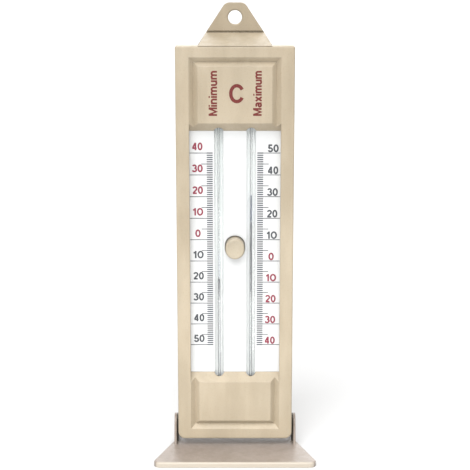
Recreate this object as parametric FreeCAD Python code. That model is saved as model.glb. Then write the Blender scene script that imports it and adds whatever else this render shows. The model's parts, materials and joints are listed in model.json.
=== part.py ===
import FreeCAD, Part
import math
import os

# Maximum and minimum thermometer on a tilting stand, with a press button that frees its two markers.
# Millimetres. +Z is up, the scale faces -Y, and +X is to the right of someone who reads it.
# The origin is the middle of the stand's underside, on the surface that it stands on.
# Depths are counted from the front face of the case towards its back, and heights from the case's base.

Vector = FreeCAD.Vector
X_AXIS = Vector(1, 0, 0)
Y_AXIS = Vector(0, 1, 0)
Z_AXIS = Vector(0, 0, 1)

# ---- driving dimensions ----
CASE_WIDTH = 60.6
CASE_HEIGHT = 209.0
CASE_DEPTH = 22.0
WALL = 2.0
LOWER_CORNER_R = 3.6
UPPER_CORNER_R = 1.0
INNER_LOWER_CORNER_R = 1.6
INNER_UPPER_CORNER_R = 0.4
EDGE_ROUND = 0.8
PARTING_DEPTH = 6.0             # where the front cover meets the rear case
ROOF_FALL = 0.8                 # how far the rear case's top falls towards the back

TAB_TOP = 229.9                 # height of the hanging tab's top edge
TAB_HALF_WIDTH = 18.8           # where the tab leaves the case
TAB_LEAN = 0.664                # how far each side leans in for each millimetre of height
TAB_THICKNESS = 2.6
TAB_CORNER_R = 4.2
TAB_HOLE_R = 3.6
TAB_HOLE_HEIGHT = 222.4
TAB_CHAMFER = 0.5
TAB_GROOVE = 0.9                # width and depth of the shadow line above the ramp
RAMP_TOP = 214.6                # height where the ramp meets the tab
RAMP_GAP = 0.4                  # between the ramp's back and the tab

STILE = 6.8                     # width of the frame round the window
RAIL = 5.6                      # height of the frame above and below the panels
GROOVE_WIDTH = 4.6              # V groove between the frame and each panel
GROOVE_DEPTH = 2.3
PANEL_SKIN = 1.7
POCKET_HALF = 18.0              # half width of the hollow behind each panel
POCKET_SIDE = 1.4               # what is left of a panel above and below that hollow
SCALE_DEPTH = 4.8               # from the frame's face back to the scale
BEVEL = 4.4                     # height of the sloping edge between a panel and the scale
TUBE_NOTCH_LENGTH = 2.0         # how far the notches for the tube run into each panel
LOWER_PANEL_TOP = 31.8
UPPER_PANEL_BASE = 170.0

STAND_THICKNESS = 2.8
STAND_GAP = 3.9                 # clear space between the stand's plate and the case
STAND_REACH = 24.0              # how far the plate stands out in front of the case
STAND_TAIL = 20.0               # how far it runs behind the hinge
STAND_SHOULDER = 9.2            # how far behind the hinge it keeps its full width
STAND_TAIL_INSET = 2.5          # how much narrower than the case its tail is on each side
STAND_FRONT_HALF = 43.6
STAND_FRONT_CORNER_R = 3.6
STAND_TAIL_CORNER_R = 5.0
STAND_RIM_ROUND = 0.9
EAR_HEIGHT = 15.0
EAR_THICKNESS = 1.2
EAR_GAP = 1.1                   # between an ear and the side of the case
EAR_ROOT_FRONT = 0.8            # depths between which an ear rises from the plate
EAR_ROOT_BACK = 18.2
EAR_STEP_DEPTH = 6.0            # behind this depth an ear is thicker, on its side towards the case
EAR_RUNNING_GAP = 0.2           # between that thicker part and the side of the case
HINGE_DEPTH = 9.3
HINGE_RISE = 5.9                # hinge line above the case's base
HINGE_PIN_R = 2.5
HINGE_CLEARANCE = 0.08
SNAP_HEAD_GAP = 0.2             # between the snap head and the wall that it holds
SNAP_HEAD_LENGTH = 1.3
SNAP_HEAD_LIP = 0.4             # how far the snap head stands past the pin's radius
SNAP_HEAD_TAPER = 1.0

TUBE_R = 2.3
BORE_R = 0.45
LIMB_X = 8.35                   # each limb of the U tube from the middle
TUBE_DEPTH = 5.4                # depth of the tube's axis
BEND_HEIGHT = 24.0              # height of the bend's centre
BULB_BASE = 176.0
SPIRIT_BULB_R = 4.6
SPIRIT_BULB_TOP = 197.0
SPARE_BULB_R = 3.6
SPARE_BULB_TOP = 190.0
GLASS_WALL = 0.7
BULB_ROUND = 0.75               # a bulb's end rounding, as a share of its radius
LIMB_INTO_BULB = 3.0
BORE_INTO_BULB = 6.0
LIQUID_GAP = 0.01               # between the mercury and the bore
SPIRIT_GAP = 0.03
SPARE_BULB_FILL = 0.5           # share of the spare bulb's height that holds spirit

DEGREES_LOW = -40.0
DEGREES_HIGH = 50.0
SCALE_LOW_HEIGHT = 51.2         # height of the lowest scale line
SCALE_HIGH_HEIGHT = 154.1
READING = 18.4                  # temperature that both menisci show

INDEX_LENGTH = 13.7
INDEX_R = 0.33
INDEX_CORE_R = 0.2
INDEX_CAP = 0.5                 # solid glass at each end of a marker
INDEX_GAP = 0.3                 # between a marker and its meniscus

BUTTON_HEIGHT = 104.4           # height of the button's axis
BUTTON_HALF_WIDTH = 5.0
BUTTON_STRAIGHT = 1.2           # straight stretch between the button's two half rounds
BUTTON_STANDS_OUT = 5.0         # from the scale
BUTTON_HOLE_GAP = 0.35
BUTTON_HOLE_RISE = 0.5          # extra height of the hole
BUTTON_FLANGE = 0.8             # how far the button's body runs behind the scale plate
DISH_R = 16.0                   # radius of the hollow in the button's face
DISH_DEPTH = 0.6
BUTTON_ROUND = 1.1
STEM_R = 3.2

MAGNET_DEPTH = 8.7
MAGNET_THICKNESS = 1.6
MAGNET_WIDTH = 4.0
MAGNET_BASE = 50.0
MAGNET_TOP = 168.0
CARRIER_THICKNESS = 1.8
CARRIER_HALF_WIDTH = 11.5
CARRIER_MARGIN = 1.0            # how far the carrier runs past the magnets
CARRIER_CORNER_R = 2.0
CARRIER_WINDOWS = ((70.0, 92.0), (117.0, 146.0))
CARRIER_WINDOW_HALF = 4.5
GUIDE_R = 1.5
GUIDE_GAP = 0.2
GUIDE_HEIGHTS = (64.0, 152.0)
SPRING_R = 4.0
SPRING_WIRE_R = 0.35
SPRING_TURNS = 4.0
SPRING_END_GAP = 0.05
RUNS_PER_TURN = 16
CUP_WALL = 1.1                  # ring on the back wall that holds the spring
CUP_DEPTH = 2.0

PLATE_THICKNESS = 1.4
PLATE_HALF_WIDTH = 25.0
PLATE_END_HALF = 20.6           # half width of the plate's narrower ends
PLATE_WIDE_HEIGHTS = (35.0, 167.0)
PLATE_BASE = 24.0
PLATE_TOP = 182.0
CHANNEL_WALL = 0.6
CHANNEL_GAP = 0.1
BULB_NOTCH_HALF = 14.0          # the notch in the plate's top that the bulbs stand in
BULB_NOTCH_BASE = 175.5

SCREW_R = 1.1
SCREW_TIP_R = 0.2
SCREW_GAP = 0.2                 # round a screw in a clear hole
SMALL_SCREW_LENGTH = 7.2
SMALL_HEAD_R = 1.7
SMALL_HEAD_THICKNESS = 1.0
LARGE_HEAD_R = 2.1
LARGE_HEAD_THICKNESS = 1.4
DRIVE_SLOT_WIDTH = 0.5
DRIVE_SHARE = 0.6               # size of the cross recess, as a share of the head
CASE_SCREW_TIP = 4.2            # depths where the tips of the screws from behind end
BUTTON_SCREW_TIP = 5.4
PLATE_SCREWS = [(-16.0, 27.5), (16.0, 27.5), (-16.0, 179.2), (16.0, 179.2)]
CLIP_HEIGHTS = (27.5, 173.5)
CLIP_HALF = 13.6
CLIP_LENGTH = 4.0               # along the tube
CLIP_THICKNESS = 0.8
CASE_SCREWS = [(-24.2, 30.6), (24.2, 30.6), (-24.2, 194.0), (24.2, 194.0)]
SMALL_BOSS_R = 2.4
LARGE_BOSS_R = 3.2
SCREW_WELL = 5.0                # depth of the well round each case screw's head

VENT_ROWS = 7
VENT_BASE = 126.0
VENT_PITCH = 6.5
VENT_HEIGHT = 2.2
VENT_ACROSS = (14.5, 24.5)
RIB_HEIGHTS = (44.0, 84.0, 124.0, 164.0)
RIB_THICKNESS = 1.2
RIB_DEPTH = 1.5
LIP_THICKNESS = 1.2             # the front cover's lip, which lies inside the rear case
LIP_LENGTH = 2.0
LIP_GAP = 0.15
SIDE_LIP_HEIGHTS = (14.0, 200.0)
STILE_HOLLOW = (36.0, 186.0)    # heights between which each stile is hollow behind
COVER_BOSS = 3.2                # how far the cover's screw bosses reach past the parting line
COVER_BOSS_R = 3.0
COVER_PILOT_DEPTH = 3.6         # where the cover's screw holes end
PILOT_DEPTH = 6.5               # of the small screws' holes behind the scale plate
CASE_SCREW_GAP = 0.25
TUBE_NOTCH_GAP = 0.3            # between the tube and the notches it passes through
CUSHION_GAP = 0.2               # between a foam cushion and the glass
BULB_CUSHION_HALF = 3.8
BULB_CUSHION_HEIGHTS = (180.0, 194.0)
BEND_CUSHION_HALF = 10.0
BEND_CUSHION_HEIGHTS = (14.0, 22.0)
OVERLAP = 0.5                   # how far one feature sinks into another that it is joined to
THROUGH = 1.0                   # how far a cut runs past the face that it opens
SHORT_THROUGH = 0.1             # the same, where another feature lies close behind that face
SWING_CLEARANCE = 0.4           # between the stand and the case as the stand swings
FOLD_CLEARANCE = 0.6            # above the folded stand's tail

# ---- sizes that follow from them ----
HALF_WIDTH = CASE_WIDTH / 2
INNER_HALF = HALF_WIDTH - WALL
TAB_FRONT = CASE_DEPTH - TAB_THICKNESS
WINDOW_HALF = HALF_WIDTH - STILE
PANEL_HALF = WINDOW_HALF - GROOVE_WIDTH
CASE_BASE = STAND_THICKNESS + STAND_GAP
FRONT_Y = (STAND_REACH - HINGE_DEPTH - STAND_TAIL) / 2
BACK_INNER = CASE_DEPTH - WALL
SCALE_BACK = SCALE_DEPTH + PLATE_THICKNESS
CHANNEL_R = TUBE_R + CHANNEL_GAP
CARRIER_DEPTH = MAGNET_DEPTH + MAGNET_THICKNESS
CARRIER_BACK = CARRIER_DEPTH + CARRIER_THICKNESS
BUTTON_FACE = SCALE_DEPTH - BUTTON_STANDS_OUT
MM_PER_DEGREE = (SCALE_HIGH_HEIGHT - SCALE_LOW_HEIGHT) / (DEGREES_HIGH - DEGREES_LOW)
MAX_MENISCUS = SCALE_LOW_HEIGHT + (READING - DEGREES_LOW) * MM_PER_DEGREE
MIN_MENISCUS = SCALE_HIGH_HEIGHT - (READING - DEGREES_LOW) * MM_PER_DEGREE
PLATE_CLEAR = HINGE_RISE + STAND_GAP            # from the hinge line to the stand's upper face
SWING_R = PLATE_CLEAR - SWING_CLEARANCE         # the case stays inside this radius behind the hinge
RECESS_DEPTH = HINGE_DEPTH + SWING_R            # back of the case where the folded stand lies
RECESS_TOP = HINGE_RISE + STAND_TAIL + FOLD_CLEARANCE


# ---- helpers ----
def at(x, depth, height):
    """A point from its place across, its depth behind the front face and its height above the case's base."""
    return Vector(x, FRONT_Y + depth, CASE_BASE + height)


def block(x0, x1, d0, d1, h0, h1):
    return Part.makeBox(x1 - x0, d1 - d0, h1 - h0, at(x0, d0, h0))


def rod(radius, x, height, d0, d1):
    """A round bar that runs from front to back."""
    return Part.makeCylinder(radius, d1 - d0, at(x, d0, height), Y_AXIS)


def post(radius, x, depth, h0, h1):
    """A round bar that stands upright."""
    return Part.makeCylinder(radius, h1 - h0, at(x, depth, h0), Z_AXIS)


def prism(points, along):
    return Part.Face(Part.makePolygon(points + points[:1])).extrude(along)


def join(shapes):
    whole = shapes[0].fuse(shapes[1:]) if len(shapes) > 1 else shapes[0]
    return whole.removeSplitter()


def mirrored(shape):
    return shape.mirror(Vector(0, 0, 0), X_AXIS)


def rounded_slab(half, h0, h1, d0, d1, lower_r, upper_r):
    """A slab that fills a rectangle seen from the front, with round lower and upper corners."""
    corner = math.sqrt(0.5)

    def arc(cx, ch, r, sx, sh):
        start = at(cx + sx * r, d0, ch)
        middle = at(cx + sx * r * corner, d0, ch + sh * r * corner)
        end = at(cx, d0, ch + sh * r)
        return start, middle, end

    right_low = arc(half - lower_r, h0 + lower_r, lower_r, 1, -1)
    left_low = arc(-half + lower_r, h0 + lower_r, lower_r, -1, -1)
    left_top = arc(-half + upper_r, h1 - upper_r, upper_r, -1, 1)
    right_top = arc(half - upper_r, h1 - upper_r, upper_r, 1, 1)
    edges = [
        Part.LineSegment(left_low[2], right_low[2]).toShape(),
        Part.Arc(*right_low).toShape(),
        Part.LineSegment(right_low[0], right_top[0]).toShape(),
        Part.Arc(*right_top).toShape(),
        Part.LineSegment(right_top[2], left_top[2]).toShape(),
        Part.Arc(*left_top).toShape(),
        Part.LineSegment(left_top[0], left_low[0]).toShape(),
        Part.Arc(*left_low).toShape(),
    ]
    wire = Part.Wire(Part.__sortEdges__(edges))
    return Part.Face(wire).extrude(Vector(0, d1 - d0, 0))


def obround(half, straight, height, d0, d1):
    """Two half rounds with a straight stretch between them, run from front to back."""
    rise = straight / 2
    return join([
        rod(half, 0, height - rise, d0, d1),
        rod(half, 0, height + rise, d0, d1),
        block(-half, half, d0, d1, height - rise, height + rise),
    ])


def pan_screw(x, height, head_depth, tip_depth, head_r, head_thickness):
    """A cross-recess screw whose head rests at head_depth, and whose tip may lie behind it or in front."""
    axis = Y_AXIS if tip_depth > head_depth else -Y_AXIS
    seat = at(x, head_depth, height)
    straight = abs(tip_depth - head_depth) - SCREW_R
    head = Part.makeCylinder(head_r, head_thickness, seat - axis * head_thickness, axis)
    shank = Part.makeCylinder(SCREW_R, straight, seat, axis)
    tip = Part.makeCone(SCREW_R, SCREW_TIP_R, SCREW_R, seat + axis * straight, axis)
    screw = join([head, shank, tip])
    deep = head_thickness * DRIVE_SHARE
    arm = head_r * DRIVE_SHARE
    half = DRIVE_SLOT_WIDTH / 2
    top = seat - axis * head_thickness
    low = min(top.y, (top + axis * deep).y)
    across = Part.makeBox(2 * arm, deep, 2 * half, Vector(top.x - arm, low, top.z - half))
    upright = Part.makeBox(2 * half, deep, 2 * arm, Vector(top.x - half, low, top.z - arm))
    return screw.cut(across.fuse(upright))


# ---- case ----
def tab_half_width(height):
    """Half width of the hanging tab, whose sides lean in as they rise."""
    return TAB_HALF_WIDTH - TAB_LEAN * (height - CASE_HEIGHT)


def tab_outline(depth, h0, h1):
    return [
        at(-tab_half_width(h0), depth, h0),
        at(tab_half_width(h0), depth, h0),
        at(tab_half_width(h1), depth, h1),
        at(-tab_half_width(h1), depth, h1),
    ]


def hanging_tab():
    tab = prism(tab_outline(TAB_FRONT, CASE_HEIGHT - WALL, TAB_TOP), Vector(0, TAB_THICKNESS, 0))
    top_corners = [
        e for e in tab.Edges
        if e.BoundBox.YLength > TAB_THICKNESS - 0.1 and e.BoundBox.ZMin > CASE_BASE + TAB_TOP - 0.1
    ]
    tab = tab.makeFillet(TAB_CORNER_R, top_corners)
    hole = rod(TAB_HOLE_R, 0, TAB_HOLE_HEIGHT, TAB_FRONT - THROUGH, CASE_DEPTH + THROUGH)
    chamfer_start = at(0, TAB_FRONT, TAB_HOLE_HEIGHT)
    chamfer = Part.makeCone(TAB_HOLE_R + TAB_CHAMFER, TAB_HOLE_R, TAB_CHAMFER, chamfer_start, Y_AXIS)
    groove = block(
        -HALF_WIDTH, HALF_WIDTH, TAB_FRONT - THROUGH, TAB_FRONT + TAB_GROOVE, RAMP_TOP, RAMP_TOP + TAB_GROOVE
    )
    return tab.cut(hole).cut(chamfer).cut(groove)


def swing_corner(radius, recess_top):
    """The room behind the hinge that the stand swings through, and the recess that it folds into."""
    half = HALF_WIDTH + THROUGH
    back = CASE_DEPTH + THROUGH
    corner = block(-half, half, HINGE_DEPTH, back, -THROUGH, HINGE_RISE)
    keep = Part.makeCylinder(radius, 2 * half, at(-half, HINGE_DEPTH, HINGE_RISE), X_AXIS)
    recess = block(-half, half, HINGE_DEPTH + radius, back, HINGE_RISE - THROUGH, recess_top)
    return corner.cut(keep).fuse(recess)


def roof_slope():
    """The wedge above the rear case's top, which falls towards the back so that rain runs off."""
    half = HALF_WIDTH + THROUGH
    drop = ROOF_FALL * (CASE_DEPTH + THROUGH - PARTING_DEPTH) / (CASE_DEPTH - PARTING_DEPTH)
    section = [
        at(-half, PARTING_DEPTH, CASE_HEIGHT),
        at(-half, CASE_DEPTH + THROUGH, CASE_HEIGHT - drop),
        at(-half, CASE_DEPTH + THROUGH, CASE_HEIGHT + THROUGH),
        at(-half, PARTING_DEPTH, CASE_HEIGHT + THROUGH),
    ]
    return prism(section, Vector(2 * half, 0, 0))


def vent_slots():
    slots = []
    for row in range(VENT_ROWS):
        height = VENT_BASE + VENT_PITCH * row
        for side in (-1, 1):
            x0, x1 = sorted(side * x for x in VENT_ACROSS)
            slots.append(
                block(x0, x1, BACK_INNER - THROUGH, CASE_DEPTH + THROUGH, height, height + VENT_HEIGHT)
            )
    return slots


def spring_cup():
    cup = rod(SPRING_R + 2 * CUP_WALL, 0, BUTTON_HEIGHT, BACK_INNER - CUP_DEPTH, BACK_INNER + OVERLAP)
    return cup.cut(rod(SPRING_R + CUP_WALL, 0, BUTTON_HEIGHT, BACK_INNER - CUP_DEPTH - THROUGH, BACK_INNER))


def rear_case():
    shell = rounded_slab(
        HALF_WIDTH, 0, CASE_HEIGHT, PARTING_DEPTH, CASE_DEPTH, LOWER_CORNER_R, UPPER_CORNER_R
    )
    shell = shell.cut(swing_corner(SWING_R, RECESS_TOP)).cut(roof_slope())
    hollow = rounded_slab(
        INNER_HALF,
        WALL,
        CASE_HEIGHT - WALL,
        PARTING_DEPTH - THROUGH,
        BACK_INNER,
        INNER_LOWER_CORNER_R,
        INNER_UPPER_CORNER_R,
    )
    shell = shell.cut(hollow.cut(swing_corner(SWING_R - WALL, RECESS_TOP + WALL)))
    pieces = [shell, hanging_tab(), spring_cup()]
    small_screws = PLATE_SCREWS + [(0, height) for height in CLIP_HEIGHTS]
    for x, height in small_screws:
        pieces.append(rod(SMALL_BOSS_R, x, height, SCALE_BACK, back_wall_at(height) + OVERLAP))
    for x, height in CASE_SCREWS:
        pieces.append(rod(LARGE_BOSS_R, x, height, PARTING_DEPTH + COVER_BOSS, BACK_INNER + OVERLAP))
    for height in GUIDE_HEIGHTS:
        pieces.append(rod(GUIDE_R, 0, height, MAGNET_DEPTH, BACK_INNER + OVERLAP))
    for height in RIB_HEIGHTS:
        half = INNER_HALF + OVERLAP
        rib = block(
            -half, half, BACK_INNER - RIB_DEPTH, BACK_INNER + OVERLAP, height, height + RIB_THICKNESS
        )
        pieces.append(rib)
    case = join(pieces)
    cuts = vent_slots()
    for x, height in small_screws:
        cuts.append(rod(SCREW_R, x, height, SCALE_BACK - THROUGH, SCALE_BACK + PILOT_DEPTH))
    for x, height in CASE_SCREWS:
        cuts.append(rod(SCREW_R + CASE_SCREW_GAP, x, height, PARTING_DEPTH, CASE_DEPTH + THROUGH))
        cuts.append(rod(SMALL_BOSS_R, x, height, CASE_DEPTH - SCREW_WELL, CASE_DEPTH + THROUGH))
    hinge_start = at(-HALF_WIDTH - THROUGH, HINGE_DEPTH, HINGE_RISE)
    cuts.append(
        Part.makeCylinder(HINGE_PIN_R + HINGE_CLEARANCE, CASE_WIDTH + 2 * THROUGH, hinge_start, X_AXIS)
    )
    for cut in cuts:
        case = case.cut(cut)
    return case


def back_wall_at(height):
    """Depth of the back wall's inner face, which comes forward where the folded stand lies."""
    return RECESS_DEPTH - WALL if height < RECESS_TOP + WALL else BACK_INNER


def tapered_block(half, low, high, deep, spread):
    """A block that starts at the front face and spreads outwards by spread on its way back.

    Only its sides and its top spread. Its bottom stays level, on the side of the window.
    """
    across = prism(
        [at(-half, 0, low), at(half, 0, low), at(half + spread, deep, low), at(-half - spread, deep, low)],
        Vector(0, 0, high - low + abs(spread)),
    )
    side = -CASE_WIDTH
    upright = prism(
        [at(side, 0, low), at(side, 0, high), at(side, deep, high + spread), at(side, deep, low)],
        Vector(2 * CASE_WIDTH, 0, 0),
    )
    return across.common(upright)


def panel_groove(window_edge, frame_edge):
    """The V groove between the frame and a panel, on the three sides away from the window."""
    middle = CASE_HEIGHT / 2
    upside_down = frame_edge < window_edge
    if upside_down:
        window_edge = CASE_HEIGHT - window_edge
        frame_edge = CASE_HEIGHT - frame_edge
    low = window_edge - BEVEL - THROUGH
    half_width = GROOVE_WIDTH / 2
    outer = tapered_block(WINDOW_HALF, low, frame_edge, GROOVE_DEPTH, -half_width)
    inner = tapered_block(PANEL_HALF, low - THROUGH, frame_edge - GROOVE_WIDTH, GROOVE_DEPTH, half_width)
    groove = outer.cut(inner)
    if upside_down:
        groove = groove.mirror(at(0, 0, middle), Z_AXIS)
    return groove


def window_opening():
    """The window, with a slope at its top and its bottom from the panels' faces down to the scale."""
    low_foot = LOWER_PANEL_TOP + BEVEL
    high_foot = UPPER_PANEL_BASE - BEVEL
    section = [
        at(-WINDOW_HALF, 0, LOWER_PANEL_TOP),
        at(-WINDOW_HALF, SCALE_DEPTH, low_foot),
        at(-WINDOW_HALF, PARTING_DEPTH + THROUGH, low_foot),
        at(-WINDOW_HALF, PARTING_DEPTH + THROUGH, high_foot),
        at(-WINDOW_HALF, SCALE_DEPTH, high_foot),
        at(-WINDOW_HALF, 0, UPPER_PANEL_BASE),
    ]
    return prism(section, Vector(2 * WINDOW_HALF, 0, 0))


def hanger_ramp():
    """The slope that rises from the cover's top edge back to the hanging tab."""
    ramp_end = TAB_FRONT - RAMP_GAP
    wedge = prism(
        [
            at(-HALF_WIDTH, 0, CASE_HEIGHT),
            at(-HALF_WIDTH, ramp_end, RAMP_TOP),
            at(-HALF_WIDTH, ramp_end, CASE_HEIGHT),
        ],
        Vector(CASE_WIDTH, 0, 0),
    )
    outline = prism(tab_outline(0, CASE_HEIGHT, TAB_TOP), Vector(0, ramp_end, 0))
    return wedge.common(outline)


def cover_lips():
    """Lips inside the two sides and the top, which line the cover up with the rear case."""
    start = SCALE_DEPTH - OVERLAP
    end = PARTING_DEPTH + LIP_LENGTH
    outside = INNER_HALF - LIP_GAP
    lips = []
    for side in (-1, 1):
        x0, x1 = sorted((side * (outside - LIP_THICKNESS), side * outside))
        lips.append(block(x0, x1, start, end, SIDE_LIP_HEIGHTS[0], SIDE_LIP_HEIGHTS[1]))
    top = CASE_HEIGHT - WALL - LIP_GAP
    lips.append(block(-PANEL_HALF, PANEL_HALF, start, end, top - LIP_THICKNESS, top))
    return lips


def front_cover():
    slab = rounded_slab(HALF_WIDTH, 0, CASE_HEIGHT, 0, PARTING_DEPTH, LOWER_CORNER_R, UPPER_CORNER_R)
    front_edges = [
        e for e in slab.Edges if e.BoundBox.YLength < 0.01 and abs(e.BoundBox.YMin - FRONT_Y) < 0.01
    ]
    slab = slab.makeFillet(EDGE_ROUND, front_edges)
    inside = rounded_slab(
        INNER_HALF,
        WALL,
        CASE_HEIGHT - WALL,
        SCALE_DEPTH,
        PARTING_DEPTH + THROUGH,
        INNER_LOWER_CORNER_R,
        INNER_UPPER_CORNER_R,
    )
    pieces = [slab.cut(inside), hanger_ramp()] + cover_lips()
    for x, height in CASE_SCREWS:
        pieces.append(rod(COVER_BOSS_R, x, height, SCALE_DEPTH - OVERLAP, PARTING_DEPTH + COVER_BOSS))
    cover = join(pieces)
    deep = SCALE_DEPTH + THROUGH
    low_base = RAIL + GROOVE_WIDTH + POCKET_SIDE
    low_top = LOWER_PANEL_TOP - POCKET_SIDE
    high_base = UPPER_PANEL_BASE + POCKET_SIDE
    high_top = CASE_HEIGHT - low_base
    cuts = [
        window_opening(),
        panel_groove(LOWER_PANEL_TOP, RAIL),
        panel_groove(UPPER_PANEL_BASE, CASE_HEIGHT - RAIL),
        block(-POCKET_HALF, POCKET_HALF, PANEL_SKIN, deep, low_base, low_top),
        block(-POCKET_HALF, POCKET_HALF, PANEL_SKIN, deep, high_base, high_top),
    ]
    for side in (-1, 1):
        notch_base = LOWER_PANEL_TOP - TUBE_NOTCH_LENGTH
        notch_top = UPPER_PANEL_BASE + TUBE_NOTCH_LENGTH
        cuts.append(post(TUBE_R + TUBE_NOTCH_GAP, side * LIMB_X, TUBE_DEPTH, notch_base, notch_top))
        x0, x1 = sorted((side * (WINDOW_HALF + WALL), side * INNER_HALF))
        cuts.append(block(x0, x1, WALL, SCALE_DEPTH + SHORT_THROUGH, STILE_HOLLOW[0], STILE_HOLLOW[1]))
    for x, height in CASE_SCREWS:
        cuts.append(rod(SCREW_R, x, height, COVER_PILOT_DEPTH, PARTING_DEPTH + COVER_BOSS + THROUGH))
    for cut in cuts:
        cover = cover.cut(cut)
    return cover


# ---- scale plate and what holds the tube to it ----
def scale_plate():
    ends = block(-PLATE_END_HALF, PLATE_END_HALF, SCALE_DEPTH, SCALE_BACK, PLATE_BASE, PLATE_TOP)
    wide_base, wide_top = PLATE_WIDE_HEIGHTS
    face = block(-PLATE_HALF_WIDTH, PLATE_HALF_WIDTH, SCALE_DEPTH, SCALE_BACK, wide_base, wide_top)
    pieces = [ends, face]
    behind = block(-HALF_WIDTH, HALF_WIDTH, SCALE_DEPTH, CASE_DEPTH, PLATE_BASE, BULB_BASE)
    for side in (-1, 1):
        wall = post(CHANNEL_R + CHANNEL_WALL, side * LIMB_X, TUBE_DEPTH, PLATE_BASE, BULB_NOTCH_BASE)
        pieces.append(wall.common(behind))
    plate = join(pieces)
    front = SCALE_DEPTH - THROUGH
    back = SCALE_BACK + THROUGH
    hole_half = BUTTON_HALF_WIDTH + BUTTON_HOLE_GAP
    cuts = [
        block(-BULB_NOTCH_HALF, BULB_NOTCH_HALF, front, back, BULB_NOTCH_BASE, PLATE_TOP + THROUGH),
        obround(hole_half, BUTTON_STRAIGHT + BUTTON_HOLE_RISE, BUTTON_HEIGHT, front, back),
    ]
    for side in (-1, 1):
        cuts.append(post(CHANNEL_R, side * LIMB_X, TUBE_DEPTH, PLATE_BASE - THROUGH, BULB_BASE + THROUGH))
    for x, height in PLATE_SCREWS + [(0, height) for height in CLIP_HEIGHTS]:
        cuts.append(rod(SCREW_R + SCREW_GAP, x, height, front, back))
    for cut in cuts:
        plate = plate.cut(cut)
    return plate


def tube_clip(height):
    """A strap that arches over both limbs and is screwed down between them."""
    h0 = height - CLIP_LENGTH / 2
    h1 = height + CLIP_LENGTH / 2
    front_half = block(-HALF_WIDTH, HALF_WIDTH, 0, SCALE_DEPTH, h0, h1)
    pieces = [block(-CLIP_HALF, CLIP_HALF, SCALE_DEPTH - CLIP_THICKNESS, SCALE_DEPTH, h0, h1)]
    for side in (-1, 1):
        arch = post(CHANNEL_R + CLIP_THICKNESS, side * LIMB_X, TUBE_DEPTH, h0, h1)
        pieces.append(arch.common(front_half))
    clip = join(pieces)
    for side in (-1, 1):
        clip = clip.cut(post(CHANNEL_R, side * LIMB_X, TUBE_DEPTH, h0 - THROUGH, h1 + THROUGH))
    return clip.cut(rod(SCREW_R + SCREW_GAP, 0, height, 0, SCALE_DEPTH + THROUGH))


def small_screw(x, height, seat):
    return pan_screw(x, height, seat, seat + SMALL_SCREW_LENGTH, SMALL_HEAD_R, SMALL_HEAD_THICKNESS)


def plate_screws():
    return Part.makeCompound([small_screw(x, height, SCALE_DEPTH) for x, height in PLATE_SCREWS])


def clip_screws():
    seat = SCALE_DEPTH - CLIP_THICKNESS
    return Part.makeCompound([small_screw(0, height, seat) for height in CLIP_HEIGHTS])


def case_screws():
    seat = CASE_DEPTH - SCREW_WELL
    return Part.makeCompound([
        pan_screw(x, height, seat, CASE_SCREW_TIP, LARGE_HEAD_R, LARGE_HEAD_THICKNESS)
        for x, height in CASE_SCREWS
    ])


# ---- glass and what is in it ----
def bulb_form(x, radius, axis_depth, base, top):
    """An upright bulb with round ends."""
    bulb = post(radius, x, axis_depth, base, top)
    ends = [e for e in bulb.Edges if e.BoundBox.ZLength < 0.01]
    return bulb.makeFillet(radius * BULB_ROUND, ends)


def u_bend(radius):
    ring = Part.makeTorus(LIMB_X, radius, at(0, TUBE_DEPTH, BEND_HEIGHT), Y_AXIS)
    return ring.common(block(-HALF_WIDTH, HALF_WIDTH, 0, CASE_DEPTH, 0, BEND_HEIGHT))


def bulb_axis(radius):
    """The bulbs are blown to one side, so that their fronts are level with the tube's."""
    return TUBE_DEPTH - TUBE_R + radius


def glass_tube():
    outside = [u_bend(TUBE_R)]
    inside = [u_bend(BORE_R)]
    bulbs = [(-LIMB_X, SPIRIT_BULB_R, SPIRIT_BULB_TOP), (LIMB_X, SPARE_BULB_R, SPARE_BULB_TOP)]
    for x, radius, top in bulbs:
        depth = bulb_axis(radius)
        outside.append(post(TUBE_R, x, TUBE_DEPTH, BEND_HEIGHT, BULB_BASE + LIMB_INTO_BULB))
        outside.append(bulb_form(x, radius, depth, BULB_BASE, top))
        inside.append(post(BORE_R, x, TUBE_DEPTH, BEND_HEIGHT, BULB_BASE + BORE_INTO_BULB))
        inside.append(bulb_form(x, radius - GLASS_WALL, depth, BULB_BASE + GLASS_WALL, top - GLASS_WALL))
    return join(outside).cut(join(inside))


def mercury_thread():
    column_r = BORE_R - LIQUID_GAP
    pieces = [u_bend(column_r)]
    for x, meniscus in ((-LIMB_X, MIN_MENISCUS), (LIMB_X, MAX_MENISCUS)):
        pieces.append(post(column_r, x, TUBE_DEPTH, BEND_HEIGHT, meniscus - column_r))
        pieces.append(Part.makeSphere(column_r, at(x, TUBE_DEPTH, meniscus - column_r)))
    return join(pieces)


def spirit_in_bulb(x, radius, top, fill):
    """The spirit in a bulb, up to a share of its height."""
    gap = GLASS_WALL + SPIRIT_GAP
    base = BULB_BASE + gap
    roof = top - gap
    spirit = bulb_form(x, radius - gap, bulb_axis(radius), base, roof)
    level = base + fill * (roof - base)
    return spirit.common(block(-HALF_WIDTH, HALF_WIDTH, 0, CASE_DEPTH, base - THROUGH, level))


def bulb_spirit():
    return spirit_in_bulb(-LIMB_X, SPIRIT_BULB_R, SPIRIT_BULB_TOP, 1.0)


def spare_bulb_spirit():
    return spirit_in_bulb(LIMB_X, SPARE_BULB_R, SPARE_BULB_TOP, SPARE_BULB_FILL)


def index_sheath(x, meniscus):
    base = meniscus + INDEX_GAP
    sheath = post(INDEX_R, x, TUBE_DEPTH, base, base + INDEX_LENGTH)
    hollow = post(INDEX_CORE_R, x, TUBE_DEPTH, base + INDEX_CAP, base + INDEX_LENGTH - INDEX_CAP)
    return sheath.cut(hollow)


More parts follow.
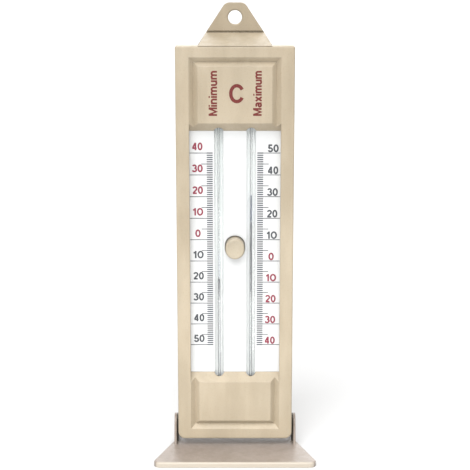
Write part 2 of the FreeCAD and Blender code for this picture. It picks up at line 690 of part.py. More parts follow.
def index_core(x, meniscus):
    base = meniscus + INDEX_GAP + INDEX_CAP + LIQUID_GAP
    top = meniscus + INDEX_GAP + INDEX_LENGTH - INDEX_CAP - LIQUID_GAP
    return post(INDEX_CORE_R - LIQUID_GAP, x, TUBE_DEPTH, base, top)


# ---- reset ----
def reset_button():
    cap = obround(BUTTON_HALF_WIDTH, BUTTON_STRAIGHT, BUTTON_HEIGHT, BUTTON_FACE, SCALE_BACK + BUTTON_FLANGE)
    front_edges = [
        e for e in cap.Edges
        if e.BoundBox.YLength < 0.01 and abs(e.BoundBox.YMin - (FRONT_Y + BUTTON_FACE)) < 0.01
    ]
    cap = cap.makeFillet(BUTTON_ROUND, front_edges)
    dish = Part.makeSphere(DISH_R, at(0, BUTTON_FACE - DISH_R + DISH_DEPTH, BUTTON_HEIGHT))
    stem = rod(STEM_R, 0, BUTTON_HEIGHT, SCALE_BACK, CARRIER_DEPTH)
    button = join([cap.cut(dish), stem])
    return button.cut(rod(SCREW_R, 0, BUTTON_HEIGHT, SCALE_DEPTH, CARRIER_DEPTH + THROUGH))


def magnet_carrier():
    base = MAGNET_BASE - CARRIER_MARGIN
    top = MAGNET_TOP + CARRIER_MARGIN
    plate = block(-CARRIER_HALF_WIDTH, CARRIER_HALF_WIDTH, CARRIER_DEPTH, CARRIER_BACK, base, top)
    corners = [e for e in plate.Edges if e.BoundBox.YLength > CARRIER_THICKNESS - 0.1]
    plate = plate.makeFillet(CARRIER_CORNER_R, corners)
    for height in GUIDE_HEIGHTS:
        plate = plate.cut(rod(GUIDE_R + GUIDE_GAP, 0, height, 0, CASE_DEPTH))
    for h0, h1 in CARRIER_WINDOWS:
        plate = plate.cut(block(-CARRIER_WINDOW_HALF, CARRIER_WINDOW_HALF, 0, CASE_DEPTH, h0, h1))
    return plate.cut(rod(SCREW_R + SCREW_GAP, 0, BUTTON_HEIGHT, 0, CASE_DEPTH))


def magnet_strip(x):
    half = MAGNET_WIDTH / 2
    return block(x - half, x + half, MAGNET_DEPTH, CARRIER_DEPTH, MAGNET_BASE, MAGNET_TOP)


def button_screw():
    return pan_screw(0, BUTTON_HEIGHT, CARRIER_BACK, BUTTON_SCREW_TIP, LARGE_HEAD_R, LARGE_HEAD_THICKNESS)


def return_spring():
    """A coil of short straight runs, from the carrier's back to the rear case's wall."""
    end = SPRING_WIRE_R + SPRING_END_GAP
    start = CARRIER_BACK + end
    length = BACK_INNER - end - start
    steps = round(SPRING_TURNS * RUNS_PER_TURN)
    points = []
    for step in range(steps + 1):
        angle = 2 * math.pi * step / RUNS_PER_TURN
        across = SPRING_R * math.cos(angle)
        up = SPRING_R * math.sin(angle)
        points.append(at(across, start + length * step / steps, BUTTON_HEIGHT + up))
    section = Part.Wire(Part.makeCircle(SPRING_WIRE_R, points[0], points[1] - points[0]))
    return Part.makePolygon(points).makePipeShell([section], True, False, 1)


# ---- foam ----
def bulb_cushion():
    back_of_bulb = bulb_axis(SPIRIT_BULB_R) + SPIRIT_BULB_R
    x0 = -LIMB_X - BULB_CUSHION_HALF
    x1 = -LIMB_X + BULB_CUSHION_HALF
    return block(x0, x1, back_of_bulb + CUSHION_GAP, BACK_INNER, *BULB_CUSHION_HEIGHTS)


def bend_cushion():
    back_of_bend = TUBE_DEPTH + TUBE_R
    half = BEND_CUSHION_HALF
    return block(-half, half, back_of_bend + CUSHION_GAP, RECESS_DEPTH - WALL, *BEND_CUSHION_HEIGHTS)


# ---- stand ----
def stand_plate():
    outer = HALF_WIDTH + EAR_GAP + EAR_THICKNESS
    tail_half = HALF_WIDTH - STAND_TAIL_INSET
    half_points = [
        (STAND_FRONT_HALF, -STAND_REACH),
        (outer, HINGE_DEPTH),
        (outer, HINGE_DEPTH + STAND_SHOULDER),
        (tail_half, HINGE_DEPTH + STAND_SHOULDER + STAND_TAIL_INSET),
        (tail_half, HINGE_DEPTH + STAND_TAIL),
    ]
    right = [at(x, depth, -CASE_BASE) for x, depth in half_points]
    left = [at(-x, depth, -CASE_BASE) for x, depth in reversed(half_points)]
    plate = prism(right + left, Vector(0, 0, STAND_THICKNESS))
    front = [
        e for e in plate.Edges
        if e.BoundBox.ZLength > STAND_THICKNESS - 0.1 and e.BoundBox.YMin < FRONT_Y - STAND_REACH + 0.1
    ]
    plate = plate.makeFillet(STAND_FRONT_CORNER_R, front)
    back_y = FRONT_Y + HINGE_DEPTH + STAND_TAIL
    rear = [
        e for e in plate.Edges
        if e.BoundBox.ZLength > STAND_THICKNESS - 0.1 and e.BoundBox.YMax > back_y - 0.1
    ]
    plate = plate.makeFillet(STAND_TAIL_CORNER_R, rear)
    rim = [e for e in plate.Edges if e.BoundBox.ZMin > STAND_THICKNESS - 0.01]
    return plate.makeFillet(STAND_RIM_ROUND, rim)


def ear_outline(x0, x1):
    """A slab in the shape of an ear seen from the side, between two distances from the middle."""
    tip_r = EAR_HEIGHT - STAND_GAP - HINGE_RISE
    root = -STAND_GAP - OVERLAP
    taper = prism(
        [
            at(x0, EAR_ROOT_FRONT, root),
            at(x0, EAR_ROOT_BACK, root),
            at(x0, HINGE_DEPTH + tip_r, HINGE_RISE),
            at(x0, HINGE_DEPTH - tip_r, HINGE_RISE),
        ],
        Vector(x1 - x0, 0, 0),
    )
    tip = Part.makeCylinder(tip_r, x1 - x0, at(x0, HINGE_DEPTH, HINGE_RISE), X_AXIS)
    return join([taper, tip])


def stand_ear():
    """An ear that stands clear of the case at the front and runs close to it from the step backwards."""
    inner = HALF_WIDTH + EAR_GAP
    outer = inner + EAR_THICKNESS
    running_face = HALF_WIDTH + EAR_RUNNING_GAP
    behind_step = block(0, outer, EAR_STEP_DEPTH, CASE_DEPTH, -STAND_GAP - THROUGH, EAR_HEIGHT)
    thick = ear_outline(running_face, outer).common(behind_step)
    return join([ear_outline(inner, outer), thick])


def hinge_stub():
    """A pin on the ear's inner face, with a snap head inside the case's wall."""
    start = HALF_WIDTH + EAR_GAP + OVERLAP
    head_x = INNER_HALF - SNAP_HEAD_GAP
    pin_length = start - head_x + OVERLAP
    pin = Part.makeCylinder(HINGE_PIN_R, pin_length, at(start, HINGE_DEPTH, HINGE_RISE), -X_AXIS)
    wide = HINGE_PIN_R + SNAP_HEAD_LIP
    narrow = wide - SNAP_HEAD_TAPER
    head = Part.makeCone(wide, narrow, SNAP_HEAD_LENGTH, at(head_x, HINGE_DEPTH, HINGE_RISE), -X_AXIS)
    return join([pin, head])


def stand():
    side = join([stand_ear(), hinge_stub()])
    return join([stand_plate(), side, mirrored(side)])


NODES = {
    "rear_case": rear_case,
    "front_cover": front_cover,
    "scale_plate": scale_plate,
    "glass_tube": glass_tube,
    "mercury_thread": mercury_thread,
    "bulb_spirit": bulb_spirit,
    "spare_bulb_spirit": spare_bulb_spirit,
    "min_index_sheath": lambda: index_sheath(-LIMB_X, MIN_MENISCUS),
    "min_index_core": lambda: index_core(-LIMB_X, MIN_MENISCUS),
    "max_index_sheath": lambda: index_sheath(LIMB_X, MAX_MENISCUS),
    "max_index_core": lambda: index_core(LIMB_X, MAX_MENISCUS),
    "reset_button": reset_button,
    "magnet_carrier": magnet_carrier,
    "min_magnet": lambda: magnet_strip(-LIMB_X),
    "max_magnet": lambda: magnet_strip(LIMB_X),
    "button_screw": button_screw,
    "return_spring": return_spring,
    "upper_tube_clip": lambda: tube_clip(CLIP_HEIGHTS[1]),
    "lower_tube_clip": lambda: tube_clip(CLIP_HEIGHTS[0]),
    "clip_screws": clip_screws,
    "scale_plate_screws": plate_screws,
    "case_screws": case_screws,
    "bulb_cushion": bulb_cushion,
    "bend_cushion": bend_cushion,
    "stand": stand,
}

os.makedirs("parts", exist_ok=True)
for name, make in NODES.items():
    shape = make()
    for solid in shape.Solids:
        assert solid.isValid() and solid.Volume > 0, name
    shape.exportStep("parts/" + name + ".step")
    print(name, len(shape.Solids), round(shape.Volume, 2))
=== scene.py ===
import json
import math

import bmesh
import bpy
from mathutils import Euler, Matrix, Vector

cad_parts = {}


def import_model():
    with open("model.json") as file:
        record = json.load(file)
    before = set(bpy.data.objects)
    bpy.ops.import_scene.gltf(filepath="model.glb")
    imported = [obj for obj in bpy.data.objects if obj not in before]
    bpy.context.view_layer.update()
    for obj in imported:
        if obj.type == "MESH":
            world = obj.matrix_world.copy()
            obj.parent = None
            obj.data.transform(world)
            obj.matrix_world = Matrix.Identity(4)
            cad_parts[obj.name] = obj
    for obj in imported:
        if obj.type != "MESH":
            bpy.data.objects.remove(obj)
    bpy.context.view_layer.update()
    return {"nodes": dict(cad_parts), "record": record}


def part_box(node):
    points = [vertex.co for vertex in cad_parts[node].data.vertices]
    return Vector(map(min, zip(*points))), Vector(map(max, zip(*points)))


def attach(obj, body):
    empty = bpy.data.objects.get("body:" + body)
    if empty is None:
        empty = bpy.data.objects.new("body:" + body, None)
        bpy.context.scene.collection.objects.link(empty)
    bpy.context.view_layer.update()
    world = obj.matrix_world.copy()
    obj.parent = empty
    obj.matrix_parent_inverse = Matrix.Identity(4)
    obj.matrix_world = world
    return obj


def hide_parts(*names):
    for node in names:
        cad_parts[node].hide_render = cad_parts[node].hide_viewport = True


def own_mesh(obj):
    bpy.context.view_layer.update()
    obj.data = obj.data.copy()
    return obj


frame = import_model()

# The looks of a maximum and minimum thermometer, made round its CAD model.
# Metres, +Z up. The scale faces -Y, and the stand's underside is at z = 0.

MM = 0.001

# ---- places from the CAD model, in metres ----
case_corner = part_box("front_cover")[0]
FACE_Y = case_corner.y             # the case's front face
CASE_BASE = case_corner.z
SCALE_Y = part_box("scale_plate")[0].y
STAND_FRONT_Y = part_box("stand")[0].y

# ---- the stand's painted shade and painted highlight, in metres ----
EAR_INNER_FACE = 31.4 * MM         # from the middle; what is nearer than this gets painted shade
PAINTED_SHADE_FADE = 0.06 * MM             # each side of that face
PAINTED_SHADE_BASE = 2.8 * MM              # the plate's top, where the painted shade ends
PAINTED_SHADE_RISE = 0.48 * MM             # height over which the painted shade sets in
RIM_HIGHLIGHT_FULL = 0.7 * MM                # the painted highlight on the rim is full up to here, from the front edge
RIM_HIGHLIGHT_END = 1.4 * MM                 # and the rim is no paler than the plate from here

# ---- the scale's layout, in millimetres from its middle and above the case's base ----
LOWEST_LINE = 51.2
DEGREE_STEP = 1.1433               # height of one degree
DEGREES = 90
HOTTEST = 50                       # degrees at the warm end of both scales
MIDDLE_TICK_EVERY = 5
NUMBER_EVERY = 10
LINE_THICKNESS = 0.38
FINE_LINE_THICKNESS = 0.60
FINE_TICK = (11.5, 14.6)           # across, one degree
MIDDLE_TICK = (14.6, 17.4)         # across, every fifth degree
LONG_LINE = (14.6, 23.4)           # across, every tenth degree
DIGIT_HEIGHT = 3.9
DIGIT_WEIGHT = 0.84
LEFT_DIGITS = (-22.4, -16.7)       # across, for the topmost number
RIGHT_DIGITS = (16.8, 22.5)
LEFT_DIGITS_LEAN = 0.06            # how much nearer the middle each number is than the one above it
RIGHT_DIGITS_LEAN = 0.15
LEFT_DIGITS_RISE = 1.5             # from a line up to the digits that belong to it
RIGHT_DIGITS_RISE = 0.5
LONE_DIGIT_SHARE = 0.5             # width of a 0 on its own, as a share of two digits

# ---- lettering on the upper panel, in the same measure ----
WORD_HEIGHTS = (173.9, 196.7)      # the words read upwards, between these heights
LEFT_WORD = (-13.4, -9.1)
RIGHT_WORD = (9.2, 13.5)
WORD_WEIGHT = 0.92
UNIT_ACROSS = (-3.0, 4.5)
UNIT_HEIGHTS = (180.4, 190.0)
UNIT_WEIGHT = 1.75

# ---- ink, in millimetres ----
INK_STANDS_OUT = 0.03
INK_STEP = 0.002                   # a letter's strokes differ in height, so that no two tops share a plane
INK_LEVELS = 5
SAME_POINT = 1e-6
ARC_STEP = 12                      # degrees
LEAST_ARC_STEPS = 4
LEAST_MITRE = 0.5                  # a ribbon is at most twice its weight wide at a sharp corner

# ---- heights between which the painted light on the mercury turns from pale to dark, in the same measure as the scale ----
PAINTED_PALE_BELOW = 75.0
PAINTED_DARK_ABOVE = 83.0

# ---- return spring ----
WIRE_RADIUS = 0.35 * MM
SPRING_TURNS = 5.0
FLAT_TURN = 0.7                    # part of a turn that lies nearly flat at each end
FLAT_RISE = 0.09                   # share of the spring's length that it takes up
POINTS_PER_TURN = 40
WIRE_SIDES = 12

# ---- foam cushions: how far the faces pull in, as a share of half the block ----
FOAM_CUTS = 7
FOAM_WAIST = 0.07
FOAM_CORNER = 0.03
FOAM_DISH = 0.02

# ---- camera, lamps and floor, in metres ----
LENS_MM = 99.6
SENSOR_MM = 36.0
CAMERA_DISTANCE = 0.658            # in front of the case's face
CAMERA_HEIGHT = 0.2571             # above the case's base
CAMERA_PITCH = 12.44               # degrees down
CLIP_START, CLIP_END = 0.05, 60.0
LOW_LAMP_PLACE = (-0.02, FACE_Y - 0.16, 0.045)
LOW_LAMP_RADIUS = 0.06
FLOOR_SIZE = 20.0

# ---- shading ----
WHITE = (1.0, 1.0, 1.0, 1.0)
GLASS_IOR = 1.47
EDGE_SAMPLES = 6


# ---- node helpers ----
def linear(*levels):
    """Linear colour from 0-255 display levels."""
    values = []
    for level in levels:
        share = level / 255
        values.append(share / 12.92 if share <= 0.04045 else ((share + 0.055) / 1.055) ** 2.4)
    return (*values, 1.0)


def new_material(name, roughness, metallic=0.0):
    material = bpy.data.materials.new(name)
    material.use_nodes = True
    shader = material.node_tree.nodes["Principled BSDF"]
    shader.inputs["Roughness"].default_value = roughness
    shader.inputs["Metallic"].default_value = metallic
    return material, material.node_tree, shader


def object_coordinates(tree):
    return tree.nodes.new("ShaderNodeTexCoord").outputs["Object"]


def position(tree):
    """X, Y and Z in the object's own coordinates."""
    split = tree.nodes.new("ShaderNodeSeparateXYZ")
    tree.links.new(object_coordinates(tree), split.inputs[0])
    return split.outputs["X"], split.outputs["Y"], split.outputs["Z"]


def noise(tree, scale, detail, stretch=None):
    """Noise with scale features to the metre. A stretch under 1 draws it out along that axis."""
    texture = tree.nodes.new("ShaderNodeTexNoise")
    texture.inputs["Scale"].default_value = scale
    texture.inputs["Detail"].default_value = detail
    source = object_coordinates(tree)
    if stretch:
        mapping = tree.nodes.new("ShaderNodeMapping")
        mapping.inputs["Scale"].default_value = stretch
        tree.links.new(source, mapping.inputs["Vector"])
        source = mapping.outputs["Vector"]
    tree.links.new(source, texture.inputs["Vector"])
    return texture.outputs["Fac"]


def ramp(tree, factor, first, last):
    """A colour ramp over factor, between two (position, colour) pairs."""
    node = tree.nodes.new("ShaderNodeValToRGB")
    for element, (place, colour) in zip(node.color_ramp.elements, (first, last)):
        element.position = place
        element.color = colour
    tree.links.new(factor, node.inputs["Fac"])
    return node.outputs["Color"]


def mix(tree, factor, first, second, mode="MIX"):
    """Mixes two colours, each a socket or a plain colour, by factor, a socket or a number."""
    node = tree.nodes.new("ShaderNodeMix")
    node.data_type = "RGBA"
    node.blend_type = mode
    for value, socket in ((factor, node.inputs[0]), (first, node.inputs[6]), (second, node.inputs[7])):
        if hasattr(value, "links"):
            tree.links.new(value, socket)
        else:
            socket.default_value = value
    return node.outputs[2]


def tinted(tree, colour, tint):
    return mix(tree, 1.0, colour, tint, "MULTIPLY")


def spread(tree, factor, low, high, from_low=0.3, from_high=0.7):
    """Maps a factor to the range from low to high."""
    node = tree.nodes.new("ShaderNodeMapRange")
    node.inputs["From Min"].default_value = from_low
    node.inputs["From Max"].default_value = from_high
    node.inputs["To Min"].default_value = low
    node.inputs["To Max"].default_value = high
    tree.links.new(factor, node.inputs["Value"])
    return node.outputs["Result"]


def maths(tree, operation, *values):
    node = tree.nodes.new("ShaderNodeMath")
    node.operation = operation
    for value, socket in zip(values, node.inputs):
        tree.links.new(value, socket)
    return node.outputs[0]


def bump(tree, height, depth, strength, after=None):
    """A normal from a height, on top of another normal where one is given."""
    node = tree.nodes.new("ShaderNodeBump")
    node.inputs["Distance"].default_value = depth
    node.inputs["Strength"].default_value = strength
    tree.links.new(height, node.inputs["Height"])
    if after:
        tree.links.new(after, node.inputs["Normal"])
    return node.outputs["Normal"]


def soft_edges(tree, radius):
    """Rounds the look of every edge, as a mould does."""
    node = tree.nodes.new("ShaderNodeBevel")
    node.samples = EDGE_SAMPLES
    node.inputs["Radius"].default_value = radius
    return node.outputs["Normal"]


# ---- plastics ----
def moulded_plastic(name, colour, shade, roughness, grain, rounding):
    """Moulded plastic: drifts of tone, flow marks, fine specks, a spark-eroded grain and soft edges."""
    material, tree, shader = new_material(name, roughness)
    drift = ramp(tree, noise(tree, scale=22, detail=3.0), (0.35, shade), (0.65, colour))
    marks = noise(tree, scale=130, detail=3.0, stretch=(1.0, 1.0, 0.25))
    flow = ramp(tree, marks, (0.38, (0.93, 0.92, 0.90, 1.0)), (0.62, (1.04, 1.03, 1.02, 1.0)))
    dots = noise(tree, scale=1500, detail=2.0)
    specks = ramp(tree, dots, (0.30, (0.90, 0.89, 0.86, 1.0)), (0.42, WHITE))
    tree.links.new(tinted(tree, tinted(tree, drift, flow), specks), shader.inputs["Base Color"])
    gloss = spread(tree, noise(tree, scale=420, detail=3.0), roughness - 0.06, roughness + 0.08)
    tree.links.new(gloss, shader.inputs["Roughness"])
    rounded = soft_edges(tree, rounding)
    grained = bump(tree, noise(tree, scale=2600, detail=3.0), depth=grain, strength=0.5, after=rounded)
    waved = bump(tree, noise(tree, scale=90, detail=2.0), depth=0.12 * MM, strength=0.5, after=grained)
    tree.links.new(waved, shader.inputs["Normal"])
    shader.inputs["Specular IOR Level"].default_value = 0.42
    shader.inputs["Subsurface Weight"].default_value = 0.04
    shader.inputs["Subsurface Radius"].default_value = (1.2 * MM, 0.8 * MM, 0.5 * MM)
    return material


def case_plastic():
    cream, shade = linear(160, 149, 130), linear(153, 141, 121)
    return moulded_plastic(
        "case_plastic", cream, shade, roughness=0.46, grain=0.06 * MM, rounding=0.5 * MM
    )


def stand_plastic():
    """A greyer tone than the case's, with a painted highlight along the front edge and painted shade in the
    gaps beside the case.
    """
    beige, shade = linear(137, 127, 119), linear(129, 118, 109)
    material = moulded_plastic(
        "stand_plastic", beige, shade, roughness=0.40, grain=0.06 * MM, rounding=0.6 * MM
    )
    tree = material.node_tree
    base = tree.nodes["Principled BSDF"].inputs["Base Color"]
    unshaded_colour = base.links[0].from_socket
    x, y, z = position(tree)
    from_middle = maths(tree, "ABSOLUTE", x)
    inside = spread(tree, from_middle, 1.0, 0.0, EAR_INNER_FACE - PAINTED_SHADE_FADE, EAR_INNER_FACE + PAINTED_SHADE_FADE)
    raised = spread(tree, z, 0.0, 1.0, PAINTED_SHADE_BASE, PAINTED_SHADE_BASE + PAINTED_SHADE_RISE)
    # Painted shade: the stand's faces inside the ears and above the plate's top are darkened where the
    # narrow gaps beside the case lie in shade.
    gap_shaded = mix(tree, maths(tree, "MULTIPLY", inside, raised), unshaded_colour, linear(62, 58, 50))
    # Painted highlight: the front rim is paled where the light falls on its front face.
    rim_highlight = spread(tree, y, 1.0, 0.0, STAND_FRONT_Y + RIM_HIGHLIGHT_FULL, STAND_FRONT_Y + RIM_HIGHLIGHT_END)
    tree.links.new(mix(tree, rim_highlight, gap_shaded, linear(164, 155, 142)), base)
    return material


def button_plastic():
    cream, shade = linear(159, 150, 133), linear(151, 141, 123)
    return moulded_plastic(
        "button_plastic", cream, shade, roughness=0.32, grain=0.03 * MM, rounding=0.4 * MM
    )


def carrier_plastic():
    grey, shade = linear(176, 176, 170), linear(160, 160, 154)
    return moulded_plastic(
        "carrier_plastic", grey, shade, roughness=0.5, grain=0.04 * MM, rounding=0.3 * MM
    )


def clip_plastic():
    pale, shade = linear(214, 214, 208), linear(200, 200, 194)
    return moulded_plastic(
        "clip_plastic", pale, shade, roughness=0.4, grain=0.03 * MM, rounding=0.2 * MM
    )


# ---- scale and ink ----
def scale_white():
    """White enamelled plate: faint clouding, a little dust and a slight orange peel."""
    material, tree, shader = new_material("scale_white", 0.38)
    faint = noise(tree, scale=45, detail=4.0)
    clouds = ramp(tree, faint, (0.3, linear(189, 190, 190)), (0.7, linear(195, 196, 196)))
    fine = noise(tree, scale=1900, detail=2.0)
    dust = ramp(tree, fine, (0.26, (0.9, 0.9, 0.89, 1.0)), (0.36, WHITE))
    tree.links.new(tinted(tree, clouds, dust), shader.inputs["Base Color"])
    gloss = spread(tree, noise(tree, scale=300, detail=2.0), 0.32, 0.46)
    tree.links.new(gloss, shader.inputs["Roughness"])
    peel = bump(tree, noise(tree, scale=700, detail=2.0), depth=0.03 * MM, strength=0.4)
    tree.links.new(peel, shader.inputs["Normal"])
    return material


def ink(name, colour, worn):
    """Printed ink, paler where its cover is thin."""
    material, tree, shader = new_material(name, 0.55)
    cover = ramp(tree, noise(tree, scale=1800, detail=4.0), (0.36, worn), (0.56, colour))
    tree.links.new(cover, shader.inputs["Base Color"])
    gloss = spread(tree, noise(tree, scale=900, detail=2.0), 0.45, 0.65)
    tree.links.new(gloss, shader.inputs["Roughness"])
    return material


# ---- glass and spirit ----
def clear_glass(name, tint, roughness, ripple):
    """Drawn glass that lets lamps through, so that what is behind it stays lit."""
    material, tree, shader = new_material(name, roughness)
    shader.inputs["Transmission Weight"].default_value = 1.0
    shader.inputs["IOR"].default_value = GLASS_IOR
    streaks = noise(tree, scale=500, detail=2.0, stretch=(1.0, 1.0, 0.02))
    tree.links.new(ramp(tree, streaks, (0.3, tint), (0.7, WHITE)), shader.inputs["Base Color"])
    drawn = noise(tree, scale=260, detail=1.0, stretch=(1.0, 1.0, 0.01))
    tree.links.new(bump(tree, drawn, depth=0.02 * MM, strength=ripple), shader.inputs["Normal"])
    path = tree.nodes.new("ShaderNodeLightPath")
    clear = tree.nodes.new("ShaderNodeBsdfTransparent")
    clear.inputs["Color"].default_value = tint
    both = tree.nodes.new("ShaderNodeMixShader")
    tree.links.new(path.outputs["Is Shadow Ray"], both.inputs[0])
    tree.links.new(shader.outputs[0], both.inputs[1])
    tree.links.new(clear.outputs[0], both.inputs[2])
    tree.links.new(both.outputs[0], tree.nodes["Material Output"].inputs["Surface"])
    return material


def tube_glass():
    return clear_glass("tube_glass", (0.87, 0.885, 0.88, 1.0), roughness=0.03, ripple=0.15)


def spirit():
    return clear_glass("spirit", (0.86, 0.92, 0.90, 1.0), roughness=0.0, ripple=0.1)


def index_glass():
    return clear_glass("index_glass", (0.30, 0.40, 0.62, 1.0), roughness=0.05, ripple=0.3)


def faint_index_glass():
    """Paler than the maximum marker's glass, so that the minimum marker hardly shows against the scale."""
    return clear_glass("faint_index_glass", (0.90, 0.92, 0.95, 1.0), roughness=0.05, ripple=0.3)


# ---- metals ----
def metal(name, bright, dull, roughness, stretch, grain):
    """Bare or plated metal with streaks of a duller tone."""
    material, tree, shader = new_material(name, roughness, metallic=1.0)
    streaks = noise(tree, scale=1600, detail=3.0, stretch=stretch)
    tree.links.new(ramp(tree, streaks, (0.35, dull), (0.65, bright)), shader.inputs["Base Color"])
    tree.links.new(spread(tree, streaks, roughness - 0.06, roughness + 0.1), shader.inputs["Roughness"])
    tree.links.new(bump(tree, streaks, depth=grain, strength=0.4), shader.inputs["Normal"])
    return material


def index_steel():
    bright, dull = (0.13, 0.16, 0.24, 1.0), (0.08, 0.10, 0.16, 1.0)
    return metal("index_steel", bright, dull, roughness=0.3, stretch=(1.0, 1.0, 0.1), grain=0.002 * MM)


def faint_index_steel():
    bright, dull = (0.86, 0.87, 0.90, 1.0), (0.78, 0.79, 0.82, 1.0)
    return metal("faint_index_steel", bright, dull, roughness=0.5, stretch=(1.0, 1.0, 0.1), grain=0.002 * MM)


def screw_steel():
    bright, dull = (0.62, 0.62, 0.60, 1.0), (0.48, 0.47, 0.44, 1.0)
    return metal("screw_steel", bright, dull, roughness=0.3, stretch=(1.0, 0.2, 1.0), grain=0.01 * MM)


def spring_steel():
    bright, dull = (0.55, 0.55, 0.56, 1.0), (0.40, 0.40, 0.42, 1.0)
    return metal("spring_steel", bright, dull, roughness=0.26, stretch=(1.0, 1.0, 1.0), grain=0.01 * MM)


def mercury():
    """Liquid metal with painted light and shade: pale towards the bend and dark near the top of each limb.
    """
    material, tree, shader = new_material("mercury", 0.38, metallic=1.0)
    film = noise(tree, scale=900, detail=2.0, stretch=(1.0, 1.0, 0.1))
    dark = ramp(tree, film, (0.35, (0.15, 0.155, 0.165, 1.0)), (0.65, (0.20, 0.205, 0.215, 1.0)))
    pale = ramp(tree, film, (0.35, (0.44, 0.45, 0.455, 1.0)), (0.65, (0.50, 0.51, 0.515, 1.0)))
    height = position(tree)[2]
    rise = spread(tree, height, 0.0, 1.0, CASE_BASE + PAINTED_PALE_BELOW * MM, CASE_BASE + PAINTED_DARK_ABOVE * MM)
    # Painted light and shade: the change from pale to dark with height stands in for how light and
    # reflections fall along the column.
    tree.links.new(mix(tree, rise, pale, dark), shader.inputs["Base Color"])
    return material


# ---- magnets and foam ----
def magnet():
    """Flexible ferrite strip: near black, with painted shade in its pores and paler grain between them."""
    material, tree, shader = new_material("magnet", 0.7)
    pores = noise(tree, scale=2400, detail=4.0)
    # Painted shade: the low parts of the bump are darkest and the raised grain palest.
    pore_shaded = ramp(tree, pores, (0.4, linear(44, 40, 38)), (0.66, linear(78, 73, 69)))
    tree.links.new(pore_shaded, shader.inputs["Base Color"])
    tree.links.new(bump(tree, pores, depth=0.08 * MM, strength=0.7), shader.inputs["Normal"])
    return material


def foam():
    """Closed-cell foam: small round cells, with painted shade at their sunken middles."""
    material, tree, shader = new_material("foam", 0.9)
    cells = tree.nodes.new("ShaderNodeTexVoronoi")
    cells.inputs["Scale"].default_value = 1400
    tree.links.new(object_coordinates(tree), cells.inputs["Vector"])
    hollow = cells.outputs["Distance"]
    # Painted shade: each cell darkens towards its middle, which the bump below sinks.
    tone = ramp(tree, hollow, (0.1, linear(62, 62, 64)), (0.6, linear(104, 104, 106)))
    tree.links.new(tone, shader.inputs["Base Color"])
    tree.links.new(bump(tree, hollow, depth=0.3 * MM, strength=0.8), shader.inputs["Normal"])
    return material


# ---- finishes of the CAD nodes: each slot's name is that of the function which makes it ----
SLOT_MAKERS = (
    case_plastic, stand_plastic, scale_white, tube_glass, mercury, spirit, index_glass, index_steel,
    button_plastic, carrier_plastic, magnet, screw_steel, spring_steel, clip_plastic, foam,
)
FINISHES = {make.__name__: make() for make in SLOT_MAKERS}


def give_material(piece, material):
    piece.data.materials.clear()
    piece.data.materials.append(material)


for part in frame["record"]["subparts"]:
    give_material(frame["nodes"][part["node"]], FINISHES[part["material_slot"]])
give_material(frame["nodes"]["min_index_sheath"], faint_index_glass())
give_material(frame["nodes"]["min_index_core"], faint_index_steel())


# ---- making pieces ----
def add_to_scene(name, data):
    thing = bpy.data.objects.new(name, data)
    bpy.context.scene.collection.objects.link(thing)
    return thing


def add_piece(name, mesh, material, body):
    piece = add_to_scene(name, mesh)
    give_material(piece, material)
    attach(piece, body)
    return piece


def finish_mesh(bm, name):
    mesh = bpy.data.meshes.new(name)
    bm.to_mesh(mesh)
    bm.free()
    return mesh


# ---- letters ----
def arc(x, y, across, up, start, end):
    """Points along part of an ellipse, between two angles in degrees."""
    steps = max(LEAST_ARC_STEPS, round(abs(end - start) / ARC_STEP))
    angles = [math.radians(start + (end - start) * step / steps) for step in range(steps + 1)]
    return [(x + across * math.cos(angle), y + up * math.sin(angle)) for angle in angles]


# Each letter is the middle lines of its strokes, for capitals and digits 1 high.
LETTERS = {
    "0": [arc(0.32, 0.5, 0.24, 0.42, 0, 360)],
    "1": [[(0.14, 0.73), (0.28, 0.78), (0.36, 0.92)], [(0.36, 1.0), (0.36, 0.0)]],
    "2": [
        arc(0.32, 0.69, 0.24, 0.23, 165, -35) + [(0.30, 0.33), (0.10, 0.10)],
        [(0.04, 0.08), (0.58, 0.08)],
    ],
    "3": [arc(0.31, 0.72, 0.21, 0.20, 160, -90), arc(0.31, 0.30, 0.25, 0.22, 90, -165)],
    "4": [[(0.45, 0.0), (0.45, 1.0)], [(0.42, 0.94), (0.06, 0.31)], [(0.0, 0.26), (0.62, 0.26)]],
    "5": [[(0.55, 0.92), (0.17, 0.92), (0.12, 0.48)], arc(0.31, 0.31, 0.25, 0.23, 140, -165)],
    "C": [arc(0.42, 0.5, 0.34, 0.42, 30, 330)],
    "M": [
        [(0.09, 0.0), (0.09, 1.0)],
        [(0.11, 0.98), (0.42, 0.10), (0.73, 0.98)],
        [(0.75, 0.0), (0.75, 1.0)],
    ],
    "a": [
        arc(0.24, 0.22, 0.18, 0.15, 0, 360),
        [(0.43, 0.0), (0.43, 0.46)] + arc(0.25, 0.48, 0.18, 0.16, 0, 150),
    ],
    "i": [[(0.08, 0.0), (0.08, 0.70)], [(0.08, 0.84), (0.08, 1.0)]],
    "m": [
        [(0.08, 0.0), (0.08, 0.70)],
        arc(0.25, 0.44, 0.17, 0.20, 180, 0) + [(0.42, 0.0)],
        arc(0.59, 0.44, 0.17, 0.20, 180, 0) + [(0.76, 0.0)],
    ],
    "n": [[(0.08, 0.0), (0.08, 0.70)], arc(0.27, 0.44, 0.19, 0.20, 180, 0) + [(0.46, 0.0)]],
    "u": [[(0.08, 0.70)] + arc(0.27, 0.26, 0.19, 0.20, 180, 360), [(0.46, 0.70), (0.46, 0.0)]],
    "x": [[(0.04, 0.0), (0.47, 0.70)], [(0.47, 0.0), (0.04, 0.70)]],
}
LETTER_SPACE = 0.25


